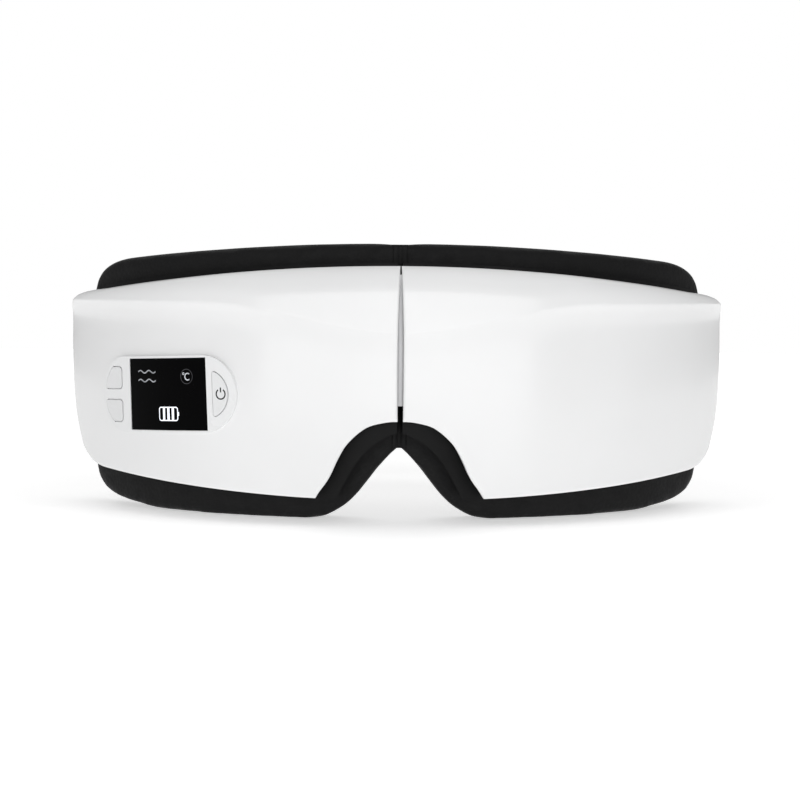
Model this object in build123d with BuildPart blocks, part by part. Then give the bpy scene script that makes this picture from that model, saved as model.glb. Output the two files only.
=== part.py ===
"""Foldable eye massager mask, in millimetres.

X runs to the viewer's right as the mask is seen from the front, Y runs back towards the face and +Z is up.
The mask stands on its cushions at Z = 0, and the origin is at the middle of its base.
"Left" and "right" are as seen from the front. Most pieces are drawn on the right and mirrored to the left.
"""

import os
from math import cos, radians, sin, sqrt, tan

from build123d import *

os.makedirs("parts", exist_ok=True)

# ---- Driving dimensions ----
DEPTH = 144.0  # front skin to the back of the headband
FRONT = -DEPTH / 2
TALL = 90.0  # taller than anything here, for prisms
REACH = 160.0  # longer than anything here, for cuts

SEAM = 0.1  # between pieces that are fixed together
PLAY = 0.3  # between pieces that move

SKIN_R = 118.0  # front skin, seen from above
WALL = 2.2
FRAME_WALL = 2.0
HALF_SLIT = 0.8
HALF_SLIT_TOP = 0.2
SKIN_TURN = 69.0  # degrees that the drawn skin runs round, past the shell's end

# Plan arcs: (radius, how far its middle lies behind the front of the mask)
IN_SHELL_WALL = (SKIN_R - WALL / 2, WALL / 2)
SHELL_INNER = (SKIN_R - WALL, WALL)
PART_LINE = (123.2, 9.0)
LIP_FRONT = (123.2, 9.3)
PLATE_FRONT = (140.0, 18.0)
IN_PLATE = (140.0, 19.0)
PLATE_BACK = (140.0, 20.0)
FACE = (128.0, 33.0)
AHEAD = (122.0, -6.0)

# Brow line: the ridge that runs across the skin
BROW_LOW = 57.5
BROW_HIGH = 66.0
BROW_SPREAD = 29.5  # degrees from the middle to where the ridge levels out
BROW_LEAN = 0.09
SKIN_STEPS = 24
MOVE_STEPS = 8

# Fold hinge
AXIS_SET_BACK = 22.0
KNUCKLE_R = 4.0
KNUCKLE_ROOM_R = 4.5

PIN_R = 1.5
PIN_PLAY = 0.05
PIN_LOW = 35.0
PIN_HIGH = 73.2
KNUCKLE = 5.0
RIGHT_KNUCKLES = [41.3, 54.2, 67.1]
LEFT_KNUCKLES = [36.0, 48.9, 61.8]
COVER_RINGS = [46.6, 59.5]
RING = 2.0
COVER_R = 17.2
COVER_WALL = 1.4
COVER_HALF_TURN = 54.0
COVER_LOW = 36.2
COVER_HIGH = 74.8
FOLD = 50.0  # degrees that each half folds
FOLD_ROOM = 0.4

# Eye opening in each cushion
EYE_X = 47.0
EYE_Z = 43.5
EYE_WIDE = 58.0
EYE_TALL = 42.0

# Control panel on the left half, drawn flat: (across, up) from its middle
PANEL_TURN = 37.9
PANEL_TILT = 2.5  # its outer end hangs lower
PANEL_Z = 38.0
PANEL_LONG = 56.0
PANEL_TALL = 23.4
PANEL_R = 118.3
PANEL_THICK = 1.2
WINDOW_X = 2.2
WINDOW_WIDE = 31.4
WINDOW_TALL = 22.0
SIDE_BUTTON = (-26.2, -17.6, 1.8, 8.4)  # near end, far end, bottom, top of the upper one
POWER_EDGE = 20.2
POWER_BULGE = 25.2
POWER_HALF_TALL = 6.9
BUTTON_CORNER_R = 1.2
POWER_CORNER_R = 0.6
PANEL_RIM = 1.6
PANEL_SPAN = 12.0  # deep enough to cross the panel's curve
WINDOW_LEDGE = 1.5
LENS_R = 118.1
BUTTON_PLAY = 0.3
CAP_R = 118.5
CAP_BACK_R = 114.9
BOARD_SET_IN = 7.2
BOARD_THICK = 1.2
BOARD_LONG = 50.0
BOARD_TALL = 23.0
SWITCH_TALL = 0.8
LCD_THICK = 2.8

# Charging socket, in the bottom wall of the left half
USB_TURN = 24.0
USB_R = 112.6
USB_WIDE = 8.9
USB_DEEP = 3.2
USB_LOW = 10.4
USB_TALL = 7.2
USB_SLOT_TALL = 6.0

# Air hose: (across, how far back it reaches, height) of its end at the airbag
HOSE = (31.0, 23.0, 50.5)
HOSE_R = 1.4

# Massage nodes on the eye pad
NODE_FRONT = 28.3
NODE_BACK = 30.3

# Headband
BAR_X = 101.5
BAR_SET_BACK = 69.5
BAR_R = 1.25
BAR_LOW = 29.5
BAR_HIGH = 64.5
LUG = 3.0
LUG_OUTLINE = [
    (95.5, 56.6), (97, 57.6), (100.3, 61.4), (103.2, 66.5), (103.2, 71.2), (99.8, 71.2), (98.6, 62.0), (98.5, 60.2),
    (95.5, 57.4)
]
BAND_THICK = 1.6
BAND_LOW = 33.0
BAND_HIGH = 61.0
BAND_START = 80.0  # where the band begins to curve round the head
BAND_LAP = 12.0  # past the middle, each way
PATCH_THICK = 0.9

AXIS = (0, FRONT + AXIS_SET_BACK)
BEHIND = Plane.XZ.offset(-REACH)  # front views are drawn well behind the mask and run forwards


def save(part, name):
    """Labels a finished piece and writes its STEP file."""
    part.label = name
    export_step(part, f"parts/{name}.step")


def save_pair(part, name):
    """Writes a right-hand piece and its mirror image on the left."""
    save(part, f"right_{name}")
    save(mirror(part, about=Plane.YZ), f"left_{name}")


def plan_point(arc, x):
    """The point of a plan arc at a distance x from the middle."""
    radius, set_back = arc
    return (x, FRONT + set_back + radius - sqrt(radius**2 - x**2))


def plan_band(front, back, x_from, x_to):
    """Sketch of the strip between two plan arcs."""
    middle = (x_from + x_to) / 2
    with BuildSketch() as band:
        with BuildLine():
            near = ThreePointArc(*[plan_point(front, x) for x in (x_from, middle, x_to)])
            far = ThreePointArc(*[plan_point(back, x) for x in (x_from, middle, x_to)])
            Line(near @ 0, far @ 0)
            Line(near @ 1, far @ 1)
        make_face()
    return band.sketch


def brow_height(turn):
    """Height of the brow line at an angle round the face."""
    t = min(1.0, abs(turn) / BROW_SPREAD)
    return BROW_LOW + (BROW_HIGH - BROW_LOW) * t * t * (3 - 2 * t)


def skin_body(inset):
    """The solid behind the right half's front skin, moved inwards by inset.

    Above the brow line the skin leaves its cylinder and leans back.
    """
    with BuildPart() as body:
        for z in (0, TALL):
            with BuildSketch(Plane.XY.offset(z)):
                with BuildLine():
                    spots = []
                    for step in range(SKIN_STEPS + 1):
                        turn = -4 + (SKIN_TURN + 4) * step / SKIN_STEPS
                        r = SKIN_R - inset - BROW_LEAN * (z - brow_height(turn))
                        spots.append((r * sin(radians(turn)), FRONT + SKIN_R - r * cos(radians(turn))))
                    Spline(*spots)
                    Polyline(spots[-1], (spots[-1][0], REACH), (spots[0][0], REACH), spots[0])
                make_face()
        loft(ruled=True)
        with Locations((0, FRONT + SKIN_R, 0)):
            Cylinder(SKIN_R - inset, TALL, align=(Align.CENTER, Align.CENTER, Align.MIN), mode=Mode.INTERSECT)
    return body.part


def falling(start, drop, span, x):
    """Height of an edge that falls (or rises) as the square of x."""
    return (x, start - drop * (x / span) ** 2)


# ---- Outlines, seen from the front: (x, z) of the right half ----
def shell_outline():
    """Front view of a shell."""
    top = [falling(77.3, 7.5, 95, x) for x in (HALF_SLIT_TOP, 50, 93)]
    bottom = [falling(8.7, -4.9, 95, x) for x in (93, 60, 25)]
    with BuildSketch(BEHIND) as outline:
        with BuildLine():
            upper = Spline(*top, tangents=[(1, 0), (1, -0.155)])
            corner = Spline(upper @ 1, (104.4, 67.9), (107.6, 62), tangents=[(1, -0.155), (0, -1)])
            end = Spline(
                corner @ 1, (107.1, 46), (105.1, 30), (101.9, 19.5), bottom[0], tangents=[(0, -1), (-1, -0.1)]
            )
            lower = Spline(end @ 1, *bottom[1:], tangents=[(-1, -0.1), (-1, -0.02)])
            arch = Spline(
                lower @ 1, (21, 15), (18.2, 20.9), (15.5, 25.3), (10.3, 29.8), (5.8, 31.3), (HALF_SLIT, 31.9)
            )
            slit = Line(arch @ 1, (HALF_SLIT, BROW_LOW))
            Line(slit @ 1, upper @ 0)
        make_face()
    return outline.sketch


def frame_outline():
    """Front view of a back frame."""
    top = [falling(78.1, 7.5, 95, x) for x in (HALF_SLIT, 50, 90)]
    with BuildSketch(BEHIND) as outline:
        with BuildLine():
            upper = Spline(*top, tangents=[(1, 0), (1, -0.15)])
            high = Spline(upper @ 1, (97, 64), tangents=[(1, -0.15), (0, -1)])
            end = Line(high @ 1, (97, 22))
            low = Spline(end @ 1, (86, 11), tangents=[(0, -1), (-1, -0.1)])
            lower = Spline(low @ 1, (50, 9), (18.8, 8), tangents=[(-1, -0.1), (-1, 0)])
            arch = Spline(lower @ 1, (15, 15.3), (10.7, 21.5), (5.2, 25.9), (HALF_SLIT, 27.8))
            Line(arch @ 1, upper @ 0)
        make_face()
    return outline.sketch


def cushion_outline():
    """Front view of a face cushion."""
    top = [falling(84.1, 4, 80, x) for x in (0.2, 50, 84)]
    with BuildSketch(BEHIND) as outline:
        with BuildLine():
            upper = Spline(*top, tangents=[(1, 0), (1, -0.105)])
            high = Spline(upper @ 1, (98.2, 67), tangents=[(1, -0.105), (0, -1)])
            end = Line(high @ 1, (98.2, 18))
            low = Spline(end @ 1, (93.5, 4.6), (80, 0.9), (62, 0), tangents=[(0, -1), (-1, 0)])
            flat = Line(low @ 1, (27, 0))
            arch = Spline(
                flat @ 1, (20.6, 1.7), (16, 4.7), (11.4, 9.5), (6.8, 15.5), (3.2, 19.6), (0.2, 22.3),
                tangents=[(-1, 0), (-1, 0.9)],
            )
            Line(arch @ 1, upper @ 0)
        make_face()
    return outline.sketch


def moved_in(sketch, margin):
    """A front view with its whole edge moved in by margin, with mitred corners."""
    runs = []
    for edge in sketch.faces()[0].outer_wire().order_edges():
        steps = 1 if edge.geom_type == GeomType.LINE else MOVE_STEPS
        runs.append([((edge @ (k / steps)).X, (edge @ (k / steps)).Z) for k in range(steps)])
    spots = [spot for run in runs for spot in run]
    turning = sum(a[0] * b[1] - b[0] * a[1] for a, b in zip(spots, spots[1:] + spots[:1]))
    side = margin if turning > 0 else -margin
    moved = []
    for before, here, after in zip(spots[-1:] + spots[:-1], spots, spots[1:] + spots[:1]):
        first = Vector(here[0] - before[0], here[1] - before[1]).normalized()
        second = Vector(after[0] - here[0], after[1] - here[1]).normalized()
        lean = side / (1 + first.dot(second))
        moved.append((here[0] - lean * (first.Y + second.Y), here[1] + lean * (first.X + second.X)))
    moved.append(moved[0])
    with BuildSketch(BEHIND) as shape:
        with BuildLine():
            at = 0
            for run in runs:
                points = moved[at : at + len(run) + 1]
                if len(run) == 1:
                    Line(*points)
                else:
                    Spline(*points)
                at += len(run)
        make_face()
    return shape.sketch


def eye_shape(margin):
    """Front view of the right eye opening, smaller by margin all round."""
    with BuildSketch(BEHIND) as eye:
        with Locations((EYE_X, EYE_Z)):
            Ellipse(EYE_WIDE / 2 - margin, EYE_TALL / 2 - margin)
    return eye.sketch


def through(sketch, mode):
    """Runs a front-view outline through the whole depth of the part being built."""
    extrude(sketch, amount=2 * REACH, dir=(0, -1, 0), mode=mode)


def upright(sketch, mode):
    """Runs a plan outline up through the whole height of the part being built."""
    extrude(sketch, amount=TALL, dir=(0, 0, 1), mode=mode)


# ---- Front shells ----
SCREW_SPOTS = [(24, 69.5), (86, 64.5), (86, 21), (30, 15.5)]
BOSS_R = 2.6
PILOT_R = 1.0
SOCKET_R = 3.4
SOCKET_DEEP = 4.5
SOCKET_FLOOR = 1.4
HEAD_R = 2.0
HEAD_TALL = 1.3
SHANK_R = 0.9
SHANK_LONG = 6.0


def socket_front(x):
    """Where the screw socket of the frame meets the boss of the shell."""
    return plan_point(PLATE_BACK, x)[1] - SOCKET_DEEP


def rearward(x, y, z):
    """Plane at a point, facing the back of the mask."""
    return Plane((x, y, z), z_dir=(0, 1, 0))


def rod(radius, length, mode=Mode.ADD):
    """A cylinder that starts at the current location."""
    Cylinder(radius, length, align=(Align.CENTER, Align.CENTER, Align.MIN), mode=mode)


with BuildPart() as shell_room:
    add(skin_body(WALL))
    with BuildSketch(BEHIND) as room:
        add(moved_in(shell_outline(), WALL))
        with Locations((3, 54.5)):
            Rectangle(8, 41.4)
    through(room.sketch, Mode.INTERSECT)

with BuildPart() as bosses:
    for x, z in SCREW_SPOTS:
        with Locations(rearward(x, FRONT, z)):
            rod(BOSS_R, socket_front(x) - SEAM - FRONT)
    upright(plan_band(IN_SHELL_WALL, PLATE_FRONT, 0, 95), Mode.INTERSECT)

with BuildPart() as right_front_shell:
    add(skin_body(0))
    through(shell_outline(), Mode.INTERSECT)
    upright(plan_band(AHEAD, PART_LINE, -3, 109), Mode.INTERSECT)
    add(shell_room.part, mode=Mode.SUBTRACT)
    add(bosses.part)
    for x, z in SCREW_SPOTS:
        with Locations(rearward(x, socket_front(x) - SHANK_LONG, z)):
            rod(PILOT_R, REACH, Mode.SUBTRACT)

save(right_front_shell.part, "right_front_shell")


# ---- Control panel and its openings, drawn flat under the left half's skin ----
def panel_plane(set_in):
    """The plane of the control panel, moved in from the skin."""
    turn = radians(PANEL_TURN)
    tilt = radians(PANEL_TILT)
    r = SKIN_R - set_in
    return Plane(
        (-r * sin(turn), FRONT + SKIN_R - r * cos(turn), PANEL_Z),
        x_dir=(cos(turn) * cos(tilt), -sin(turn) * cos(tilt), sin(tilt)),
        z_dir=(-sin(turn), -cos(turn), 0),
    )


def stadium(margin):
    """The panel's outline, smaller by margin all round."""
    with BuildSketch(panel_plane(PANEL_SPAN)) as shape:
        SlotOverall(PANEL_LONG - 2 * margin, PANEL_TALL - 2 * margin)
    return shape.sketch


def window(margin):
    """The display's window, smaller by margin all round."""
    with BuildSketch(panel_plane(PANEL_SPAN)) as shape:
        with Locations((WINDOW_X, 0)):
            Rectangle(WINDOW_WIDE - 2 * margin, WINDOW_TALL - 2 * margin)
    return shape.sketch


def side_button(side, margin):
    """A button beside the display, above (1) or below (-1) its middle, with the panel's round end."""
    near, far, low, high = SIDE_BUTTON
    with BuildSketch(panel_plane(PANEL_SPAN)) as shape:
        SlotOverall(PANEL_LONG - 2 * (PANEL_RIM + margin), PANEL_TALL - 2 * (PANEL_RIM + margin))
        with Locations(((near + far) / 2, side * (low + high) / 2)):
            size = (far - near - 2 * margin, high - low - 2 * margin)
            RectangleRounded(*size, BUTTON_CORNER_R - margin, mode=Mode.INTERSECT)
    return shape.sketch


def power_shape(margin):
    """The half-moon power button."""
    tall = POWER_HALF_TALL - margin
    edge = POWER_EDGE + margin
    with BuildSketch(panel_plane(PANEL_SPAN)) as shape:
        with BuildLine():
            Line((edge, -tall), (edge, tall))
            ThreePointArc((edge, -tall), (POWER_BULGE - margin, 0), (edge, tall))
        make_face()
        fillet(shape.vertices(), POWER_CORNER_R - margin)
    return shape.sketch


def outwards(sketch, mode=Mode.ADD):
    """Runs a sketch drawn under the panel outwards, past the skin."""
    extrude(sketch, amount=2 * PANEL_SPAN, dir=tuple(panel_plane(0).z_dir), mode=mode)


def drum(radius, mode):
    """An upright cylinder about the skin's own centre."""
    with Locations((0, FRONT + SKIN_R, 0)):
        Cylinder(radius, TALL, align=(Align.CENTER, Align.CENTER, Align.MIN), mode=mode)


def skin_layer(outer, inner, shapes, cuts):
    """A curved piece between two radii, with flat-drawn shapes and cuts."""
    with BuildPart() as layer:
        for shape in shapes:
            outwards(shape)
        drum(outer, Mode.INTERSECT)
        drum(inner, Mode.SUBTRACT)
        for cut in cuts:
            outwards(cut, Mode.SUBTRACT)
    return layer.part


PANEL_BACK_R = PANEL_R - PANEL_THICK
CAPS = {"mode_button": side_button(1, 0), "heat_button": side_button(-1, 0), "power_button": power_shape(0)}
USB_SPOT = Location(
    (-USB_R * sin(radians(USB_TURN)), FRONT + SKIN_R - USB_R * cos(radians(USB_TURN)), USB_LOW), (0, 0, -USB_TURN)
)
SLOTS = [side_button(1, -BUTTON_PLAY), side_button(-1, -BUTTON_PLAY), power_shape(-BUTTON_PLAY)]

with BuildPart() as left_front_shell:
    add(mirror(right_front_shell.part, about=Plane.YZ))
    add(skin_layer(REACH, PANEL_BACK_R - SEAM, [stadium(-SEAM)], []), mode=Mode.SUBTRACT)
    for opening in SLOTS + [window(WINDOW_LEDGE)]:
        outwards(opening, Mode.SUBTRACT)
    with Locations(USB_SPOT):
        Box(USB_WIDE + 2 * BUTTON_PLAY, USB_DEEP + 2 * BUTTON_PLAY, USB_SLOT_TALL, mode=Mode.SUBTRACT)

save(left_front_shell.part, "left_front_shell")
save(skin_layer(PANEL_R, PANEL_BACK_R, [stadium(0)], [window(0)] + SLOTS), "control_panel")
save(skin_layer(LENS_R, PANEL_BACK_R, [window(SEAM)], []), "display_lens")
for name, outline in CAPS.items():
    save(skin_layer(CAP_R, CAP_BACK_R, [outline], []), name)

# ---- Behind the panel ----
SWITCH_SPOTS = [(-21.9, 4.7), (-21.9, -4.7), (22.2, 0)]

with BuildPart() as button_board:
    with BuildSketch(panel_plane(BOARD_SET_IN)):
        Rectangle(BOARD_LONG, BOARD_TALL)
    extrude(amount=-BOARD_THICK)

with BuildPart() as button_switches:
    with BuildSketch(panel_plane(BOARD_SET_IN)):
        with Locations(*SWITCH_SPOTS):
            Rectangle(3.6, 3.6)
    extrude(amount=SWITCH_TALL)

with BuildPart() as lcd_module:
    with BuildSketch(panel_plane(BOARD_SET_IN)):
        with Locations((WINDOW_X, 0)):
            Rectangle(WINDOW_WIDE - 2.4, WINDOW_TALL - 2.4)
    extrude(amount=LCD_THICK)

with BuildPart() as board_chips:
    with BuildSketch(panel_plane(BOARD_SET_IN + BOARD_THICK)):
        with Locations((-10, 3), (8, -2)):
            Rectangle(7, 7)
        with Locations((0, 7), (16, 5), (-18, -5)):
            Rectangle(3, 2)
    extrude(amount=-1.0)

with BuildPart() as usb_socket:
    with Locations(USB_SPOT):
        Box(USB_WIDE, USB_DEEP, USB_TALL, align=(Align.CENTER, Align.CENTER, Align.MIN))
        Box(
            USB_WIDE - 0.8, USB_DEEP - 0.8, 2 * (USB_TALL - 1.2),
            align=(Align.CENTER, Align.CENTER, Align.CENTER), mode=Mode.SUBTRACT,
        )
        Box(5.6, 0.7, USB_TALL, align=(Align.CENTER, Align.CENTER, Align.MIN))

save(button_board.part, "button_board")
save(button_switches.part, "button_switches")
save(lcd_module.part, "lcd_module")
save(board_chips.part, "board_chips")
save(usb_socket.part, "usb_socket")

# ---- Back frames ----
with BuildPart() as frame_room:
    upright(plan_band(PART_LINE, PLATE_FRONT, -3, 97.5), Mode.ADD)
    with BuildSketch(BEHIND) as room:
        add(moved_in(frame_outline(), FRAME_WALL))
        add(moved_in(shell_outline(), WALL), mode=Mode.INTERSECT)
        with Locations((3, 55)):
            Rectangle(8, 42)
    through(room.sketch, Mode.INTERSECT)

with BuildPart() as sockets:
    for x, z in SCREW_SPOTS:
        with Locations(rearward(x, socket_front(x), z)):
            rod(SOCKET_R, SOCKET_DEEP + 3)
    upright(plan_band(SHELL_INNER, IN_PLATE, 0, 95), Mode.INTERSECT)

with BuildPart() as frame_body:
    upright(plan_band(LIP_FRONT, PLATE_BACK, 0, 98), Mode.ADD)
    through(frame_outline(), Mode.INTERSECT)
    add(frame_room.part, mode=Mode.SUBTRACT)
    add(sockets.part)
    for x, z in SCREW_SPOTS:
        with Locations(rearward(x, socket_front(x) - SEAM, z)):
            rod(SHANK_R + PLAY, REACH, Mode.SUBTRACT)
        with Locations(rearward(x, socket_front(x) + SOCKET_FLOOR, z)):
            rod(HEAD_R + PLAY, REACH, Mode.SUBTRACT)
    for low in (BAR_LOW, BAR_HIGH - LUG):
        with BuildSketch(Plane.XY.offset(low)):
            with BuildLine():
                Polyline(*[(x, FRONT + y) for x, y in LUG_OUTLINE], close=True)
            make_face()
        extrude(amount=LUG)
    with Locations((BAR_X, FRONT + BAR_SET_BACK, 0)):
        rod(BAR_R + PIN_PLAY, TALL, Mode.SUBTRACT)
    with Locations((*AXIS, PIN_LOW)):
        rod(KNUCKLE_ROOM_R, PIN_HIGH - PIN_LOW, Mode.SUBTRACT)


def with_knuckles(body, lows, side):
    """A back frame with its own knuckles round the fold axis."""
    with BuildPart() as frame:
        add(body)
        for low in lows:
            with Locations((*AXIS, low)):
                rod(KNUCKLE_R, KNUCKLE)
            with Locations((side * 3, FRONT + 19, low)):
                Box(5, 2, KNUCKLE, align=(Align.CENTER, Align.CENTER, Align.MIN))
        with Locations((*AXIS, 0)):
            rod(PIN_R + PIN_PLAY, TALL, Mode.SUBTRACT)
    return frame.part


with BuildPart() as right_frame_body:
    add(frame_body.part)
    with Locations(rearward(HOSE[0], FRONT, HOSE[2])):
        rod(HOSE_R + PLAY, REACH, Mode.SUBTRACT)

save(with_knuckles(right_frame_body.part, RIGHT_KNUCKLES, 1), "right_back_frame")
save(with_knuckles(mirror(frame_body.part, about=Plane.YZ), LEFT_KNUCKLES, -1), "left_back_frame")

# ---- Hinge ----
with BuildPart() as hinge_pin:
    with Locations((*AXIS, PIN_LOW)):
        rod(PIN_R, PIN_HIGH - PIN_LOW)

with BuildPart() as hinge_cover:
    with BuildSketch(Plane.XY.offset(COVER_LOW)):
        with BuildLine():
            start = -90 - COVER_HALF_TURN
            CenterArc(AXIS, COVER_R, start, 2 * COVER_HALF_TURN)
            CenterArc(AXIS, COVER_R - COVER_WALL, start, 2 * COVER_HALF_TURN)
            for turn in (radians(start), radians(start + 2 * COVER_HALF_TURN)):
                ends = [(AXIS[0] + r * cos(turn), AXIS[1] + r * sin(turn)) for r in (COVER_R - COVER_WALL, COVER_R)]
                Line(*ends)
        make_face()
    extrude(amount=COVER_HIGH - COVER_LOW)
    for low in COVER_RINGS:
        with Locations((*AXIS, low)):
            rod(KNUCKLE_R, RING)
        with Locations((0, AXIS[1] - (COVER_R + KNUCKLE_R) / 2 + 1, low)):
            Box(2.4, COVER_R - KNUCKLE_R, RING, align=(Align.CENTER, Align.CENTER, Align.MIN))
    with Locations((*AXIS, 0)):
        rod(PIN_R + PIN_PLAY, TALL, Mode.SUBTRACT)

save(hinge_pin.part, "hinge_pin")
save(hinge_cover.part, "hinge_cover")

# ---- Face cushions and what lies in the eye openings ----
with BuildPart() as face_cushion:
    upright(plan_band((PLATE_BACK[0], PLATE_BACK[1] + SEAM), FACE, 0, 99), Mode.ADD)
    through(cushion_outline(), Mode.INTERSECT)
    through(eye_shape(0), Mode.SUBTRACT)
    with Locations((*AXIS, PIN_LOW - 0.8)):
        rod(KNUCKLE_ROOM_R + PLAY, PIN_HIGH - PIN_LOW + 1.6, Mode.SUBTRACT)
    with BuildSketch():
        rise = tan(radians(90 - FOLD))
        with BuildLine():
            Polyline(
                (-5, AXIS[1]), (FOLD_ROOM, AXIS[1]), (60, AXIS[1] + rise * (60 - FOLD_ROOM)), (-5, AXIS[1] + 60),
                close=True,
            )
        make_face()
    extrude(amount=TALL, mode=Mode.SUBTRACT)


def eye_layer(front, back, margin):
    """A sheet inside the eye opening, parallel to the frame's plate."""
    with BuildPart() as layer:
        upright(plan_band((PLATE_BACK[0], front), (PLATE_BACK[0], back), 5, 90), Mode.ADD)
        through(eye_shape(margin), Mode.INTERSECT)
    return layer.part


with BuildPart() as massage_nodes:
    upright(plan_band((PLATE_BACK[0], NODE_FRONT), (PLATE_BACK[0], NODE_BACK), 5, 90), Mode.ADD)
    with BuildSketch(BEHIND) as spots:
        with Locations((EYE_X, EYE_Z)):
            for k in range(6):
                turn = radians(30 + 60 * k)
                with Locations((19 * cos(turn), 12.5 * sin(turn))):
                    Circle(2.6)
    through(spots.sketch, Mode.INTERSECT)

save_pair(face_cushion.part, "face_cushion")
save_pair(eye_layer(20.2, 25.8, 2.0), "airbag")
save_pair(eye_layer(25.9, 26.3, 3.0), "heater_film")
save_pair(eye_layer(26.4, 28.2, 0.4), "eye_pad")
save_pair(massage_nodes.part, "massage_nodes")

# ---- Screws ----
with BuildPart() as shell_screws:
    for x, z in SCREW_SPOTS:
        with Locations(rearward(x, socket_front(x) - SHANK_LONG + 0.4, z)):
            rod(SHANK_R, SHANK_LONG + SOCKET_FLOOR)
        with Locations(rearward(x, socket_front(x) + SOCKET_FLOOR, z)):
            rod(HEAD_R, HEAD_TALL)

save_pair(shell_screws.part, "shell_screws")


# ---- Drives inside the halves ----
def cavity_point(turn, radius):
    """A point in the right half's cavity, by its angle and radius about the skin's centre."""
    return (radius * sin(radians(turn)), FRONT + SKIN_R - radius * cos(radians(turn)))


def cavity_box(turn, radius, low, size, mode=Mode.ADD):
    """A block (across, deep, tall) that lies along the cavity."""
    with Locations(Location((*cavity_point(turn, radius), low), (0, 0, turn))):
        Box(*size, align=(Align.CENTER, Align.CENTER, Align.MIN), mode=mode)


def standing(point, low):
    """Location of an upright rod."""
    return Locations((*point, low))


with BuildPart() as speaker:
    for depth, radius, length in ((110.6, 4.0, 2.0), (112.4, 6.4, 2.0)):
        with Locations(Plane((*cavity_point(12, depth), 58.5), z_dir=(sin(radians(12)), -cos(radians(12)), 0))):
            rod(radius, length)

MOTOR = cavity_point(40, 111.5)
with BuildPart() as vibration_motor:
    with standing(MOTOR, 56):
        rod(2.6, 7.6)
    with standing(MOTOR, 60):
        rod(0.5 + PIN_PLAY, 8, Mode.SUBTRACT)

with BuildPart() as vibration_weight:
    with standing(MOTOR, 60.4):
        rod(0.5, 7.6)
    with BuildSketch(Plane((*MOTOR, 64.2))):
        Circle(2.3)
        with Locations((0, -2.3)):
            Rectangle(6, 3.2, mode=Mode.SUBTRACT)
    extrude(amount=3.4)

PUMP = cavity_point(16.5, 109)
with BuildPart() as air_pump:
    with standing(PUMP, 23):
        rod(5, 14)
    cavity_box(16.5, 109, 37, (16, 9.6, 10))
    with standing(PUMP, 20):
        rod(0.8 + PIN_PLAY, 8, Mode.SUBTRACT)

with BuildPart() as pump_eccentric:
    with standing(PUMP, 20):
        rod(0.8, 7)
    with standing((PUMP[0] + 1, PUMP[1]), 20):
        rod(2.8, 2.4)

VALVE = cavity_point(24, 110.5)
with BuildPart() as air_valve:
    cavity_box(24, 110.5, 58, (9, 6.6, 9))
    with standing(VALVE, 61):
        rod(1.2 + PIN_PLAY, 8, Mode.SUBTRACT)

with BuildPart() as valve_plunger:
    with standing(VALVE, 62.5):
        rod(1.2, 7)

with BuildPart() as air_hose:
    with BuildLine() as run:
        FilletPolyline(
            (HOSE[0], PUMP[1], 47.1), (HOSE[0], PUMP[1], HOSE[2]), (HOSE[0], FRONT + HOSE[1], HOSE[2]), radius=2.4
        )
    with BuildSketch(Plane(run.line @ 0, z_dir=run.line % 0)):
        Circle(HOSE_R)
        Circle(HOSE_R - 0.5, mode=Mode.SUBTRACT)
    sweep()

with BuildPart() as battery:
    cavity_box(33, 110.2, 24, (28, 5, 30))

save_pair(speaker.part, "speaker")
save_pair(vibration_motor.part, "vibration_motor")
save_pair(vibration_weight.part, "vibration_weight")
save(air_pump.part, "air_pump")
save(pump_eccentric.part, "pump_eccentric")
save(air_valve.part, "air_valve")
save(valve_plunger.part, "valve_plunger")
save(air_hose.part, "air_hose")
save(battery.part, "battery")

# ---- Headband ----
with BuildPart() as strap_bar:
    with Locations((BAR_X, FRONT + BAR_SET_BACK, BAR_LOW)):
        rod(BAR_R, BAR_HIGH - BAR_LOW)


def half_band(reach_back):
    """The right half of the headband: a sewn loop round the bar, a straight run and half an ellipse."""
    bar = (BAR_X, FRONT + BAR_SET_BACK)
    turn_y = FRONT + BAND_START
    half = BAND_THICK / 2
    with BuildPart() as band:
        with BuildSketch(Plane.XY.offset(BAND_LOW)):
            with Locations(bar):
                Circle(BAR_R + PLAY + BAND_THICK)
            with Locations((BAR_X, turn_y)):
                Rectangle(BAND_THICK, 2 * (BAND_START - BAR_SET_BACK), align=(Align.CENTER, Align.CENTER))
            with Locations(bar):
                Circle(BAR_R + PLAY, mode=Mode.SUBTRACT)
            with Locations((0, turn_y)):
                Rectangle(4 * BAR_X, REACH, align=(Align.CENTER, Align.MIN), mode=Mode.SUBTRACT)
        extrude(amount=BAND_HIGH - BAND_LOW)
        with BuildSketch(Plane.XY.offset(BAND_LOW)):
            with Locations((0, turn_y)):
                Ellipse(BAR_X + half, reach_back + half)
                Ellipse(BAR_X - half, reach_back - half, mode=Mode.SUBTRACT)
            with Locations((-BAND_LAP, turn_y)):
                Rectangle(2 * BAR_X, REACH, align=(Align.MIN, Align.MIN), mode=Mode.INTERSECT)
        extrude(amount=BAND_HIGH - BAND_LOW)
    return band.part


OUTER_REACH = DEPTH - BAND_START - BAND_THICK / 2
INNER_REACH = OUTER_REACH - BAND_THICK - PATCH_THICK - 2 * SEAM

with BuildPart() as fastening_patch:
    with BuildSketch(Plane.XY.offset(BAND_LOW + 2)):
        with Locations((0, FRONT + BAND_START)):
            Ellipse(BAR_X, INNER_REACH + BAND_THICK / 2 + PATCH_THICK + SEAM)
            Ellipse(BAR_X, INNER_REACH + BAND_THICK / 2 + SEAM, mode=Mode.SUBTRACT)
            Rectangle(2 * BAND_LAP - 4, REACH, align=(Align.CENTER, Align.MIN), mode=Mode.INTERSECT)
    extrude(amount=BAND_HIGH - BAND_LOW - 4)

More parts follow.
